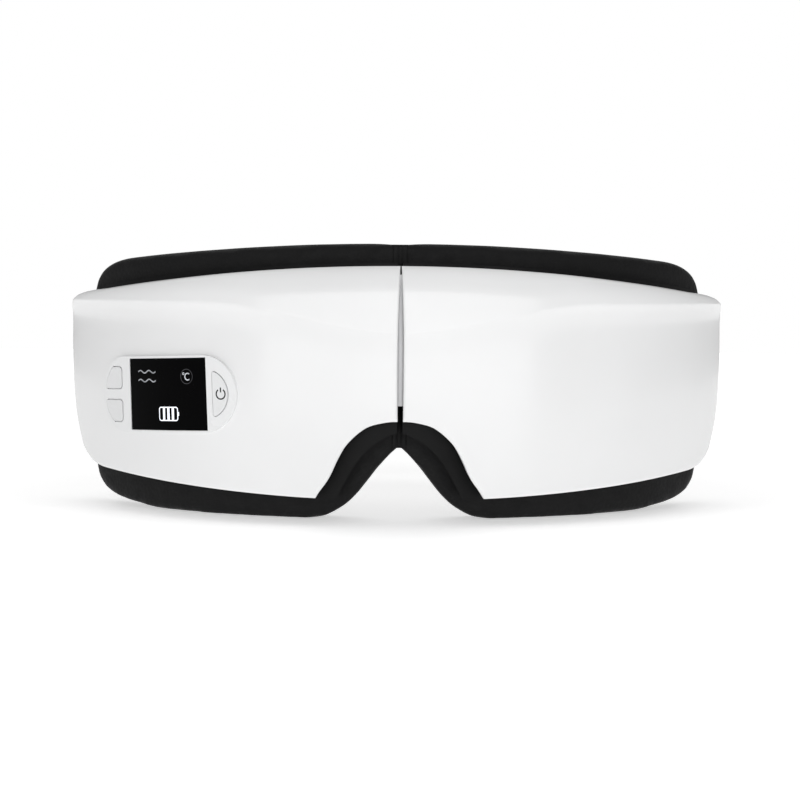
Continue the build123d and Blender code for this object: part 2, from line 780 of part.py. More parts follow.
save_pair(strap_bar.part, "strap_bar")
save(half_band(INNER_REACH), "right_headband")
save(mirror(half_band(OUTER_REACH), about=Plane.YZ), "left_headband")
save(fastening_patch.part, "fastening_patch")
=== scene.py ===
"""Looks for the folding eye massager mask. Metres; X to the viewer's right, Y back, Z up."""

from math import asin, ceil, copysign, cos, exp, hypot, log, pi, radians, sin, sqrt

import bmesh
import bpy
from mathutils import Matrix, Vector


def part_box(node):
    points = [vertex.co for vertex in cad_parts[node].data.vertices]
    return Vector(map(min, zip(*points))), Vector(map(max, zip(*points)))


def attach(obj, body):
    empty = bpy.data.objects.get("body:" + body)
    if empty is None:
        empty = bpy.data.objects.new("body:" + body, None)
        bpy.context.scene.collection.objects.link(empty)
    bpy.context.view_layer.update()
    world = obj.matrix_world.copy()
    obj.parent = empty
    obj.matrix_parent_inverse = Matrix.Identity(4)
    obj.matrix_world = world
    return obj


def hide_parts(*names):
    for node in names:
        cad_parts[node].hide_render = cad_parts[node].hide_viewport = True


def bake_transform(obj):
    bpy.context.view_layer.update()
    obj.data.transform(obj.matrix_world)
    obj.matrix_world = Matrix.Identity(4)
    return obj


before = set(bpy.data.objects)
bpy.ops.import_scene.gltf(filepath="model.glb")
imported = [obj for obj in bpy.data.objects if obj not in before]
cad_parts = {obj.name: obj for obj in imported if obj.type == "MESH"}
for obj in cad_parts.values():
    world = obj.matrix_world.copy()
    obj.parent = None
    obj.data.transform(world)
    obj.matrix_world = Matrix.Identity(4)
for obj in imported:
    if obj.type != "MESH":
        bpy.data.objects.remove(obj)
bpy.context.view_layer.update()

MM = 0.001
FRONT = -72.0  # the foremost point of the mask
SKIN_R = 118.0
WALL = 2.2
PART_LINE = (123.2, 9.0)  # plan arc where shell and frame meet: radius, set-back
WIDEST = 107.2
BROW_LOW = 57.5
BROW_HIGH = 66.0
BROW_SPREAD = 29.5
BROW_LEAN = 0.09
PANEL_TURN = 37.9
PANEL_TILT = 2.5
PANEL_Z = 38.0
AXIS_Y = FRONT + 22.0


# ---- Materials ----
def new_material(name, color, roughness, **sockets):
    """A Principled material, its nodes and its shader."""
    material = bpy.data.materials.new(name)
    material.use_nodes = True
    nodes = material.node_tree.nodes
    shader = nodes["Principled BSDF"]
    shader.inputs["Base Color"].default_value = (*color, 1)
    shader.inputs["Roughness"].default_value = roughness
    for key, value in sockets.items():
        shader.inputs[key.replace("_", " ")].default_value = value
    return material, nodes, shader


def link(material, start, end):
    """Joins two node sockets."""
    material.node_tree.links.new(start, end)


def noise(material, scale, detail=2.0, roughness=0.5, stretch=(1, 1, 1)):
    """A noise texture in object space."""
    nodes = material.node_tree.nodes
    coords = nodes.new("ShaderNodeTexCoord")
    mapping = nodes.new("ShaderNodeMapping")
    mapping.inputs["Scale"].default_value = stretch
    texture = nodes.new("ShaderNodeTexNoise")
    texture.inputs["Scale"].default_value = scale
    texture.inputs["Detail"].default_value = detail
    texture.inputs["Roughness"].default_value = roughness
    link(material, coords.outputs["Object"], mapping.inputs["Vector"])
    link(material, mapping.outputs["Vector"], texture.inputs["Vector"])
    return texture


def ramp(material, source, low, high, at_low=0.3, at_high=0.7):
    """Maps a texture's factor between two greys or colours."""
    mixer = material.node_tree.nodes.new("ShaderNodeValToRGB")
    mixer.color_ramp.elements[0].position = at_low
    mixer.color_ramp.elements[1].position = at_high
    mixer.color_ramp.elements[0].color = (*low, 1)
    mixer.color_ramp.elements[1].color = (*high, 1)
    link(material, source, mixer.inputs["Fac"])
    return mixer.outputs["Color"]


def add_bump(material, shader, height, strength, distance):
    """Adds a bump, on top of any bump already there."""
    bump = material.node_tree.nodes.new("ShaderNodeBump")
    bump.inputs["Strength"].default_value = strength
    bump.inputs["Distance"].default_value = distance
    link(material, height, bump.inputs["Height"])
    normal = shader.inputs["Normal"]
    if normal.is_linked:
        link(material, normal.links[0].from_socket, bump.inputs["Normal"])
    link(material, bump.outputs["Normal"], normal)


def plastic(name, color, roughness, grain=900, depth=0.00002, coat=0.0, gloss=0.5):
    """Moulded plastic: a fine surface ripple, slight colour drift and uneven gloss."""
    material, _, shader = new_material(name, color, roughness, Specular_IOR_Level=gloss)
    shader.inputs["Coat Weight"].default_value = coat
    shader.inputs["Coat Roughness"].default_value = 0.08
    drift = noise(material, 14, 3)
    dark = tuple(0.94 * c for c in color)
    link(material, ramp(material, drift.outputs["Fac"], dark, color), shader.inputs["Base Color"])
    uneven = noise(material, 60, 4)
    low, high = (roughness * 0.85,) * 3, (roughness * 1.2,) * 3
    link(material, ramp(material, uneven.outputs["Fac"], low, high), shader.inputs["Roughness"])
    add_bump(material, shader, noise(material, grain, 2).outputs["Fac"], 0.35, depth)
    return material


def metal(name, color, roughness, stretch=(1, 1, 30)):
    """Brushed metal, drawn along one axis."""
    material, _, shader = new_material(name, color, roughness, Metallic=1.0)
    streaks = noise(material, 700, 3, 0.6, stretch=stretch)
    low, high = (roughness * 0.75,) * 3, (roughness * 1.3,) * 3
    link(material, ramp(material, streaks.outputs["Fac"], low, high), shader.inputs["Roughness"])
    add_bump(material, shader, streaks.outputs["Fac"], 0.15, 0.00002)
    return material


def leatherette(name, color, roughness):
    """Soft artificial leather: pebbled grain with fine creases."""
    material, nodes, shader = new_material(name, color, roughness, Specular_IOR_Level=0.16)
    shader.inputs["Sheen Weight"].default_value = 0.03
    shader.inputs["Sheen Roughness"].default_value = 0.45
    coords = nodes.new("ShaderNodeTexCoord")
    cells = nodes.new("ShaderNodeTexVoronoi")
    cells.inputs["Scale"].default_value = 900
    cells.inputs["Randomness"].default_value = 1.0
    link(material, coords.outputs["Object"], cells.inputs["Vector"])
    drift = noise(material, 30, 4)
    dark = tuple(0.75 * c for c in color)
    link(material, ramp(material, drift.outputs["Fac"], dark, color), shader.inputs["Base Color"])
    low, high = (roughness * 0.9,) * 3, (roughness * 1.12,) * 3
    uneven = noise(material, 250, 3)
    link(material, ramp(material, uneven.outputs["Fac"], low, high), shader.inputs["Roughness"])
    add_bump(material, shader, cells.outputs["Distance"], 0.6, 0.00012)
    add_bump(material, shader, noise(material, 120, 4).outputs["Fac"], 0.3, 0.0004)
    return material


def woven(name, color, roughness, pitch, depth):
    """Woven fabric: two crossed sets of threads, along Z and across the run of the piece."""
    material, nodes, shader = new_material(name, color, roughness, Specular_IOR_Level=0.2)
    shader.inputs["Sheen Weight"].default_value = 0.1
    shader.inputs["Sheen Roughness"].default_value = 0.5
    coords = nodes.new("ShaderNodeTexCoord")
    waves = []
    for direction in ("X", "Y"):
        wave = nodes.new("ShaderNodeTexWave")
        wave.bands_direction = direction
        wave.inputs["Scale"].default_value = 1 / pitch
        wave.inputs["Distortion"].default_value = 0.6
        wave.inputs["Detail"].default_value = 1
        link(material, coords.outputs["UV"], wave.inputs["Vector"])
        waves.append(wave.outputs["Fac"])
    mix = nodes.new("ShaderNodeMath")
    mix.operation = "MULTIPLY"
    link(material, waves[0], mix.inputs[0])
    link(material, waves[1], mix.inputs[1])
    dark = tuple(0.45 * c for c in color)
    link(material, ramp(material, mix.outputs[0], dark, color, 0.0, 0.6), shader.inputs["Base Color"])
    add_bump(material, shader, mix.outputs[0], 0.6, depth)
    add_bump(material, shader, noise(material, 60, 4).outputs["Fac"], 0.15, 0.0004)
    return material


def glowing(name, color, strength):
    """A lit mark of the display."""
    base = tuple(0.3 * c for c in color)
    material, _, shader = new_material(name, base, 0.4, Specular_IOR_Level=0.1)
    flicker = noise(material, 400, 1)
    dark = tuple(0.25 * c for c in color)
    link(material, ramp(material, flicker.outputs["Fac"], dark, color), shader.inputs["Base Color"])
    shader.inputs["Emission Color"].default_value = (*color, 1)
    shader.inputs["Emission Strength"].default_value = strength
    return material


WHITE = (0.87, 0.872, 0.875)
SHELL_WHITE = plastic("shell_white", WHITE, 0.22, grain=500, depth=0.000008, coat=0.25)
PANEL_WHITE = plastic("panel_white", (0.84, 0.845, 0.85), 0.25, grain=500, depth=0.00001, coat=0.25)
BUTTON_WHITE = plastic("button_white", (0.8, 0.805, 0.81), 0.33, coat=0.1)
FRAME_BLACK = plastic("frame_black", (0.004, 0.004, 0.0042), 0.4, grain=1500, depth=0.00003, gloss=0.12)
CUSHION_BLACK = leatherette("cushion_black", (0.0075, 0.0075, 0.0078), 0.55)
PAD_BLACK = woven("pad_black", (0.03, 0.03, 0.032), 0.8, 0.0012, 0.0002)
BAND_BLACK = woven("band_black", (0.022, 0.022, 0.024), 0.75, 0.0018, 0.0003)
PATCH_BLACK = leatherette("patch_black", (0.02, 0.02, 0.021), 0.9)
LENS_BLACK = plastic("lens_black", (0.0008, 0.0008, 0.001), 0.3, grain=300, depth=0.000002, gloss=0.03)
NODE_GREY = plastic("node_grey", (0.05, 0.05, 0.055), 0.5)
COVER_SILVER = metal("cover_silver", (0.52, 0.52, 0.53), 0.38)
STEEL = metal("steel", (0.55, 0.55, 0.56), 0.3)
DARK_STEEL = metal("dark_steel", (0.12, 0.12, 0.13), 0.35)
BRASS = metal("brass", (0.62, 0.46, 0.2), 0.3)
BOARD_GREEN = plastic("board_green", (0.015, 0.12, 0.045), 0.35)
CHIP_BLACK = plastic("chip_black", (0.02, 0.02, 0.02), 0.5)
FILM_AMBER = plastic("film_amber", (0.4, 0.17, 0.03), 0.3)
BLADDER_GREY = plastic("bladder_grey", (0.16, 0.16, 0.17), 0.55)
CELL_SILVER = plastic("cell_silver", (0.4, 0.41, 0.43), 0.35)
PUMP_GREY = plastic("pump_grey", (0.1, 0.1, 0.105), 0.5)
VALVE_WHITE = plastic("valve_white", (0.6, 0.6, 0.58), 0.4)
HOSE_CLEAR = plastic("hose_clear", (0.55, 0.55, 0.53), 0.3)
INK_GREY = plastic("ink_grey", (0.012, 0.012, 0.013), 0.45, gloss=0.2)
THREAD_GREY = plastic("thread_grey", (0.055, 0.055, 0.058), 0.6, grain=3000, gloss=0.25)
ICON_GLOW = glowing("icon_glow", (0.9, 0.93, 1.0), 0.9)
ICON_MID = glowing("icon_mid", (0.5, 0.52, 0.55), 0.7)
ICON_DIM = glowing("icon_dim", (0.3, 0.31, 0.33), 0.6)
ICON_FAINT = glowing("icon_faint", (0.06, 0.06, 0.065), 0.6)

NODE_LOOKS = {
    "front_shell": SHELL_WHITE,
    "control_panel": PANEL_WHITE,
    "button_board": BOARD_GREEN,
    "button_switches": STEEL,
    "mode_button": BUTTON_WHITE,
    "heat_button": BUTTON_WHITE,
    "power_button": BUTTON_WHITE,
    "display_lens": LENS_BLACK,
    "lcd_module": CHIP_BLACK,
    "board_chips": CHIP_BLACK,
    "usb_socket": STEEL,
    "back_frame": FRAME_BLACK,
    "face_cushion": CUSHION_BLACK,
    "airbag": BLADDER_GREY,
    "heater_film": FILM_AMBER,
    "eye_pad": PAD_BLACK,
    "massage_nodes": NODE_GREY,
    "shell_screws": STEEL,
    "speaker": CHIP_BLACK,
    "vibration_motor": STEEL,
    "vibration_weight": BRASS,
    "strap_bar": DARK_STEEL,
    "headband": BAND_BLACK,
    "fastening_patch": PATCH_BLACK,
    "hinge_pin": STEEL,
    "hinge_cover": COVER_SILVER,
    "air_pump": PUMP_GREY,
    "pump_eccentric": BRASS,
    "air_valve": VALVE_WHITE,
    "valve_plunger": STEEL,
    "air_hose": HOSE_CLEAR,
    "battery": CELL_SILVER,
}


def look_of(node):
    """The material of a CAD node, by its name without its side."""
    return NODE_LOOKS[node.removeprefix("left_").removeprefix("right_")]


for node_name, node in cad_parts.items():
    for material_slot in node.material_slots:
        material_slot.material = look_of(node_name)


# ---- Helpers for pieces ----
def piece(name, vertices, faces, material, smooth=True):
    """A mesh object from points in millimetres."""
    mesh = bpy.data.meshes.new(name)
    mesh.from_pydata([Vector(v) * MM for v in vertices], [], faces)
    mesh.materials.append(material)
    obj = bpy.data.objects.new(name, mesh)
    bpy.context.scene.collection.objects.link(obj)
    bm = bmesh.new()
    bm.from_mesh(mesh)
    bmesh.ops.remove_doubles(bm, verts=bm.verts, dist=1e-7)
    bmesh.ops.recalc_face_normals(bm, faces=bm.faces)
    bm.to_mesh(mesh)
    bm.free()
    for polygon in mesh.polygons:
        polygon.use_smooth = smooth
    return obj


def apply_modifiers(obj):
    """Bakes an object's modifiers into its mesh."""
    graph = bpy.context.evaluated_depsgraph_get()
    baked = bpy.data.meshes.new_from_object(obj.evaluated_get(graph))
    obj.modifiers.clear()
    obj.data = baked


def brow_height(turn):
    """Height of the brow line at an angle round the face."""
    t = min(1.0, abs(turn) / BROW_SPREAD)
    return BROW_LOW + (BROW_HIGH - BROW_LOW) * t * t * (3 - 2 * t)


def skin_inset(turn, z):
    """How far the skin lies inside its cylinder, at an angle and a height.

    It leans back above the brow, rolls over at its top edge, and is undercut just below the brow.
    """
    above = z - brow_height(turn)
    share = min(1.0, abs(turn) / BROW_SPREAD)
    blur = 0.9 - 0.6 * share
    inset = BROW_LEAN * blur * log(1 + exp(min(30.0, above / blur)))
    top = 77.3 - 7.5 * (SKIN_R * sin(radians(turn)) / 95) ** 2
    roll = min(8.0, 0.62 * (top - brow_height(turn)) + 0.9)
    into_roll = min(0.97, max(0.0, (z - top + roll) / roll))
    inset += 0.55 * roll * (1 - sqrt(1 - into_roll**2))
    if above < 0:
        inset += (1.1 + 0.7 * share) * (1 - exp(above / (4.6 - 1.2 * share))) * exp(above / 24)
    return inset


def skin_point(u, z, depth=0.0):
    """Point of the skin at an arc length and a height, moved in by depth."""
    turn = u / SKIN_R
    r = SKIN_R - depth - skin_inset(turn * 180 / pi, z)
    return (r * sin(turn), FRONT + SKIN_R - r * cos(turn), z)


def plan_y(arc_spec, x):
    """Where a plan arc (radius, set-back) lies at a distance x from the middle."""
    radius, set_back = arc_spec
    return FRONT + set_back + radius - sqrt(radius**2 - x**2)


# ---- Front shells ----
ROWS = 90
COLUMNS = 150
CORNER = 12  # columns of each outer corner
ARCH = 34  # columns of the nose arch
RIM_R = 0.9
RIM_STEPS = 4
SHARP_RIM_R = 0.12  # at the slit's two corners


def curve_through(points, count, start=None, end=None):
    """Evenly spaced points on a smooth curve through points, with optional end tangents."""
    n = len(points)
    tangents = []
    for i, p in enumerate(points):
        if i == 0:
            t = start or (points[1][0] - p[0], points[1][1] - p[1])
        elif i == n - 1:
            t = end or (p[0] - points[i - 1][0], p[1] - points[i - 1][1])
        else:
            t = (points[i + 1][0] - points[i - 1][0], points[i + 1][1] - points[i - 1][1])
        length = hypot(*t)
        tangents.append((t[0] / length, t[1] / length))
    fine = []
    for i in range(n - 1):
        a, b = points[i], points[i + 1]
        reach = hypot(b[0] - a[0], b[1] - a[1])
        ta, tb = tangents[i], tangents[i + 1]
        for k in range(40):
            s = k / 40
            h00, h10 = 2 * s**3 - 3 * s**2 + 1, s**3 - 2 * s**2 + s
            h01, h11 = -2 * s**3 + 3 * s**2, s**3 - s**2
            fine.append(
                tuple(h00 * a[j] + h10 * reach * ta[j] + h01 * b[j] + h11 * reach * tb[j] for j in (0, 1))
            )
    fine.append(points[-1])
    lengths = [0.0]
    for a, b in zip(fine, fine[1:]):
        lengths.append(lengths[-1] + hypot(b[0] - a[0], b[1] - a[1]))
    spaced, at = [], 0
    for k in range(count + 1):
        want = lengths[-1] * k / count
        while at < len(lengths) - 2 and lengths[at + 1] < want:
            at += 1
        span = lengths[at + 1] - lengths[at] or 1
        s = (want - lengths[at]) / span
        spaced.append(tuple(fine[at][j] + s * (fine[at + 1][j] - fine[at][j]) for j in (0, 1)))
    return spaced


def shell_edges():
    """The four sides of the right shell, seen from the front as (x, z): slit, top, end and bottom."""
    slit = curve_through([(0.8, 31.9), (0.8, 57.5), (0.2, 77.3)], ROWS)
    top = curve_through(
        [(0.2, 77.3), (25, 76.78), (50, 75.22), (75, 72.6), (93, 70.1)], COLUMNS - CORNER, (1, 0), (1, -0.155)
    )
    high_corner = curve_through([(93, 70.1), (100.5, 69.1), (104.4, 67.9)], CORNER, (1, -0.155), (0.85, -0.5))
    end = [(104.4, 67.9), (106.8, 65.4), (107.6, 62), (107.1, 46), (105.1, 30), (101.9, 19.5), (100.3, 17.0)]
    end = curve_through(end, ROWS)
    low_corner = curve_through([(100.3, 17.0), (97.4, 14.6), (93, 13.4)], CORNER, None, (-1, -0.1))
    low = [(93, 13.4), (75, 11.75), (60, 10.65), (42, 9.65), (25, 9.04)]
    low = curve_through(low, COLUMNS - CORNER - ARCH, (-1, -0.1), (-1, -0.02))
    arch = [(25, 9.04), (21, 15), (18.2, 20.9), (15.5, 25.3), (10.3, 29.8), (5.8, 31.3), (0.8, 31.9)]
    arch = curve_through(arch, ARCH, (-0.5, 1), (-1, 0.02))
    top = top[:-1] + high_corner
    bottom = (low_corner[:-1] + low[:-1] + arch)[::-1]
    return slit, top, end[::-1], bottom


def to_unrolled(point):
    """An (x, z) seen from the front, as (arc length round the skin, z)."""
    x, z = point
    return (SKIN_R * asin(x / SKIN_R), z)


def build_shell(side):
    """One front shell: skin with a brow crease, rounded rim, walls and hollow back. side is 1 or -1."""
    slit, top, end, bottom = [[to_unrolled(p) for p in run] for run in shell_edges()]
    grid = []
    for i in range(COLUMNS + 1):
        s = i / COLUMNS
        column = []
        for j in range(ROWS + 1):
            t = j / ROWS
            spot = []
            for k in (0, 1):
                value = (1 - t) * bottom[i][k] + t * top[i][k] + (1 - s) * slit[j][k] + s * end[j][k]
                value -= (1 - s) * ((1 - t) * bottom[0][k] + t * top[0][k])
                value -= s * ((1 - t) * bottom[-1][k] + t * top[-1][k])
                spot.append(value)
            column.append(spot)
        grid.append(column)
    border = [(i, 0) for i in range(COLUMNS)]
    border += [(COLUMNS, j) for j in range(ROWS)]
    border += [(i, ROWS) for i in range(COLUMNS, 0, -1)]
    border += [(0, j) for j in range(ROWS, 0, -1)]
    on_border = set(border)
    count = len(border)
    outline = [tuple(grid[i][j]) for i, j in border]
    normals = []
    for n in range(count):
        a, b = outline[n - 1], outline[(n + 1) % count]
        dx, dz = b[0] - a[0], b[1] - a[1]
        length = hypot(dx, dz) or 1
        normals.append((dz / length, -dx / length))
    sharp = (outline[border.index((0, 0))], outline[border.index((0, ROWS))])
    rims = []
    for x, z in outline:
        from_sharp = min(hypot(x - corner[0], z - corner[1]) for corner in sharp)
        rims.append(min(RIM_R, SHARP_RIM_R + 0.45 * from_sharp))
    for n, (i, j) in enumerate(border):
        grid[i][j] = (outline[n][0] - rims[n] * normals[n][0], outline[n][1] - rims[n] * normals[n][1])
    relax_near_border(grid)

    vertices, faces, index = [], [], {}
    for i in range(COLUMNS + 1):
        for j in range(ROWS + 1):
            index[i, j] = len(vertices)
            vertices.append(skin_point(*grid[i][j]))
    for i in range(COLUMNS):
        for j in range(ROWS):
            faces.append((index[i, j], index[i + 1, j], index[i + 1, j + 1], index[i, j + 1]))

    loops = [[index[spot] for spot in border]]

    def add_loop(points):
        start = len(vertices)
        vertices.extend(points)
        loops.append(list(range(start, start + count)))

    def rim_point(n, out, depth):
        u = outline[n][0] + out * normals[n][0]
        z = outline[n][1] + out * normals[n][1]
        return skin_point(u, z, depth)

    for k in range(1, RIM_STEPS + 1):
        turn = 0.5 * pi * k / RIM_STEPS
        add_loop([rim_point(n, -rims[n] * (1 - sin(turn)), rims[n] * (1 - cos(turn))) for n in range(count)])
    open_side = {n for n, (i, j) in enumerate(border) if i == 0 and 0 < j < ROWS}

    def wall_back(n, out):
        if n in open_side:
            return rim_point(n, out, WALL)
        x, y, z = rim_point(n, out, WALL)
        return (x, max(y, plan_y(PART_LINE, min(x, WIDEST))), z)

    add_loop([wall_back(n, 0) for n in range(count)])
    add_loop([rim_point(n, -0.3, WALL) if n in open_side else wall_back(n, -WALL) for n in range(count)])
    add_loop([rim_point(n, -0.4 if n in open_side else -WALL, WALL) for n in range(count)])
    for a, b in zip(loops, loops[1:]):
        for n in range(count):
            m = (n + 1) % count
            faces.append((a[n], b[n], b[m], a[m]))
    inner = {}
    for i in range(COLUMNS + 1):
        for j in range(ROWS + 1):
            if (i, j) in on_border:
                continue
            inner[i, j] = len(vertices)
            vertices.append(skin_point(*grid[i][j], WALL))
    for n, spot in enumerate(border):
        inner[spot] = loops[-1][n]
    for i in range(COLUMNS):
        for j in range(ROWS):
            faces.append((inner[i, j], inner[i, j + 1], inner[i + 1, j + 1], inner[i + 1, j]))
    vertices = [(side * x, y, z) for x, y, z in vertices]
    name = "right_shell" if side > 0 else "left_shell"
    return piece(name, vertices, faces, SHELL_WHITE)


def relax_near_border(grid):
    """Evens out the grid's inner points after its border has moved in."""
    for _ in range(40):
        for i in range(1, COLUMNS):
            for j in range(1, ROWS):
                if min(i, j, COLUMNS - i, ROWS - j) > 14:
                    continue
                near = (grid[i - 1][j], grid[i + 1][j], grid[i][j - 1], grid[i][j + 1])
                grid[i][j] = tuple(sum(p[k] for p in near) / 4 for k in (0, 1))


for side, name in ((1, "right"), (-1, "left")):
    shell = build_shell(side)
    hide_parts(f"{name}_front_shell")
    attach(shell, f"{name}_half")


# ---- Display icons and button marks ----
def panel_point(across, up, radius):
    """Point on a cylinder over the panel, from flat panel coordinates in millimetres."""
    turn = radians(-PANEL_TURN)
    tilt = radians(PANEL_TILT)
    across, up = across * cos(tilt) - up * sin(tilt), across * sin(tilt) + up * cos(tilt)
    drop = SKIN_R - sqrt(radius**2 - across**2)
    x = SKIN_R * sin(turn) + across * cos(turn) + drop * sin(-turn)
    y = FRONT + SKIN_R - SKIN_R * cos(turn) + across * sin(turn) + drop * cos(turn)
    return (x, y, PANEL_Z + up)


def ribbon(points, width, closed=False):
    """Flat quads of a stroke along points, as (across, up), short enough to follow the curved panel."""
    fine = []
    for a, b in zip(points, points[1:] + points[:1]):
        parts = max(1, ceil(hypot(b[0] - a[0], b[1] - a[1]) / 0.8))
        fine += [(a[0] + (b[0] - a[0]) * k / parts, a[1] + (b[1] - a[1]) * k / parts) for k in range(parts)]
        if not closed and b == points[-1]:
            break
    points = fine if closed else fine + [points[-1]]
    count = len(points)
    left, right = [], []
    for n in range(count):
        a = points[n - 1] if n or closed else points[0]
        b = points[(n + 1) % count] if n < count - 1 or closed else points[-1]
        dx, dy = b[0] - a[0], b[1] - a[1]
        length = hypot(dx, dy)
        nx, ny = -dy / length * width / 2, dx / length * width / 2
        left.append((points[n][0] + nx, points[n][1] + ny))
        right.append((points[n][0] - nx, points[n][1] - ny))
    quads = []
    for n in range(count if closed else count - 1):
        m = (n + 1) % count
        quads.append([left[n], left[m], right[m], right[n]])
    return quads


def arc(cx, cy, r, start, end, count=32):
    """Points on an arc between two angles in degrees."""
    turns = [radians(start + (end - start) * k / count) for k in range(count + 1)]
    return [(cx + r * cos(turn), cy + r * sin(turn)) for turn in turns]


def rounded_box(cx, cy, wide, tall, r):
    """Corner points of a rounded rectangle, anticlockwise."""
    spots = []
    for quarter, (sx, sy) in enumerate(((1, 1), (-1, 1), (-1, -1), (1, -1))):
        corner = (cx + sx * (wide / 2 - r), cy + sy * (tall / 2 - r))
        spots += arc(*corner, r, 90 * quarter, 90 * quarter + 90, 6)
    return spots


def strokes(name, quads, radius, material, body):
    """Thin raised marks made of flat quads on the panel."""
    vertices, faces = [], []
    for quad in quads:
        start = len(vertices)
        for lift in (0.0, MARK_LIFT):
            vertices += [panel_point(*corner, radius + lift) for corner in quad]
        a = start
        faces += [(a + 4, a + 5, a + 6, a + 7), (a + 3, a + 2, a + 1, a)]
        faces += [(a + k, a + (k + 1) % 4, a + 4 + (k + 1) % 4, a + 4 + k) for k in range(4)]
    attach(piece(name, vertices, faces, material, smooth=False), body)


def wavy(x0, x1, y, height):
    """Points on a line with two full waves."""
    return [(x0 + (x1 - x0) * k / 40, y + height * sin(4 * pi * k / 40)) for k in range(41)]


DISPLAY_R = 118.1
POWER_CAP_R = 118.5
MARK_LIFT = 0.03
waves = [quad for line_y in (6.9, 4.2) for quad in ribbon(wavy(-9.6, -1.9, line_y, 0.4), 0.34)]
ring = ribbon(arc(10.6, 5.35, 2.2, 0, 360)[:-1], 0.16, closed=True)
degrees_c = ribbon(arc(9.45, 6.2, 0.3, 0, 360, 16)[:-1], 0.18, closed=True)
degrees_c += ribbon(arc(11.0, 5.3, 1.0, 50, 310, 24), 0.34)
battery = ribbon(rounded_box(3.0, -5.95, 7.4, 4.0, 0.7), 0.3, closed=True)
battery += ribbon([(6.95, -5.35), (6.95, -6.55)], 0.55)
for bar_x in (1.2, 3.0, 4.8):
    battery += ribbon([(bar_x, -4.1), (bar_x, -7.8)], 0.85)
strokes("display_waves", waves, DISPLAY_R, ICON_DIM, "left_half")
strokes("display_ring", ring, DISPLAY_R, ICON_FAINT, "left_half")
strokes("display_degrees", degrees_c, DISPLAY_R, ICON_MID, "left_half")
strokes("display_battery", battery, DISPLAY_R, ICON_GLOW, "left_half")
mark = ribbon(arc(23.0, 0, 1.5, 125, 415, 28), 0.4) + ribbon([(23.0, 0.5), (23.0, 1.95)], 0.4)
strokes("power_mark", mark, POWER_CAP_R, INK_GREY, "power_button")


# ---- Cushions and eye pads ----
PLATE_BACK = (140.0, 20.0)
FACE = (128.0, 33.0)
EYE_X, EYE_Z = 47.0, 43.5
EYE_HALF_WIDE, EYE_HALF_TALL = 29.0, 21.0
CLOTH_FRAMES = 20
FOLD_GAP = 0.45
FOLD_SLOPE = 1.19  # of the V behind the hinge, across for each millimetre back


def shape_kept(obj, name, keep):
    """A vertex group whose weight is keep(x, y, z), in millimetres, for each vertex."""
    group = obj.vertex_groups.new(name=name)
    for vertex in obj.data.vertices:
        group.add([vertex.index], keep(*(vertex.co / MM)), "REPLACE")
    return group.name


def padded_copy(node, name, voxel, material, loose, cap):
    """A soft piece from a CAD solid: remeshed, eased at its edges, puffed up by Cloth and fitted to its box.

    loose(x, y, z) is how freely a point may move, from 0 to 1. Cushions are kept out of the V behind
    the hinge.
    """
    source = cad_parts[node]
    obj = bpy.data.objects.new(name, source.data.copy())
    bpy.context.scene.collection.objects.link(obj)
    obj.data.materials.clear()
    obj.data.materials.append(material)
    remesh = obj.modifiers.new("remesh", "REMESH")
    remesh.mode = "VOXEL"
    remesh.voxel_size = voxel
    apply_modifiers(obj)
    easy = shape_kept(obj, "easy", lambda x, y, z: min(1.0, max(0.0, (abs(x) - 0.6) / 1.5)))
    smooth = obj.modifiers.new("smooth", "SMOOTH")
    smooth.factor = 0.5
    smooth.iterations = 16
    smooth.vertex_group = easy
    apply_modifiers(obj)
    rest = [v.co.copy() for v in obj.data.vertices]
    pinned = shape_kept(obj, "pinned", lambda x, y, z: 1.0 - loose(x, y, z))
    cloth = obj.modifiers.new("cloth", "CLOTH")
    cloth.settings.vertex_group_mass = pinned
    cloth.settings.use_pressure = True
    cloth.settings.uniform_pressure_force = 4.0
    cloth.settings.effector_weights.gravity = 0
    cloth.settings.quality = 5
    cloth.point_cache.frame_start = 1
    cloth.point_cache.frame_end = CLOTH_FRAMES
    for step in range(1, CLOTH_FRAMES + 1):
        bpy.context.scene.frame_set(step)
    apply_modifiers(obj)
    bpy.context.scene.frame_set(1)
    for vertex, start in zip(obj.data.vertices, rest):
        move = vertex.co - start
        if move.length > cap:
            vertex.co = start + move * (cap / move.length)
    low, high = [[v / MM for v in corner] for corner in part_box(node)]
    for axis in (0, 2):
        values = [vertex.co[axis] / MM for vertex in obj.data.vertices]
        least, span = min(values), max(values) - min(values)
        for vertex, value in zip(obj.data.vertices, values):
            vertex.co[axis] = MM * (low[axis] + (value - least) / span * (high[axis] - low[axis]))
    finer = obj.modifiers.new("finer", "SUBSURF")
    finer.levels = 1
    finer.render_levels = 1
    apply_modifiers(obj)
    obj.vertex_groups.clear()
    for polygon in obj.data.polygons:
        polygon.use_smooth = True
    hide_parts(node)
    if loose is cushion_loose:
        for vertex in obj.data.vertices:
            least = MM * (FOLD_GAP + FOLD_SLOPE * max(0.0, vertex.co.y / MM - AXIS_Y))
            if abs(vertex.co.x) < least:
                vertex.co.x = copysign(least, low[0] + 1)
    return obj




def cushion_loose(x, y, z):
    """Free at the back of the cushion, held near the frame's plate and the middle."""
    back = (y - plan_y(PLATE_BACK, min(abs(x), 110)) - 2.0) / 5.0
    return min(1.0, max(0.0, back)) * min(1.0, max(0.0, (abs(x) - 2.0) / 6.0))


def pad_loose(x, y, z):
    """Free at the back of the eye pad, held at its edge."""
    from_middle = hypot((abs(x) - EYE_X) / EYE_HALF_WIDE, (z - EYE_Z) / EYE_HALF_TALL)
    return min(1.0, max(0.0, (0.97 - from_middle) * 6))


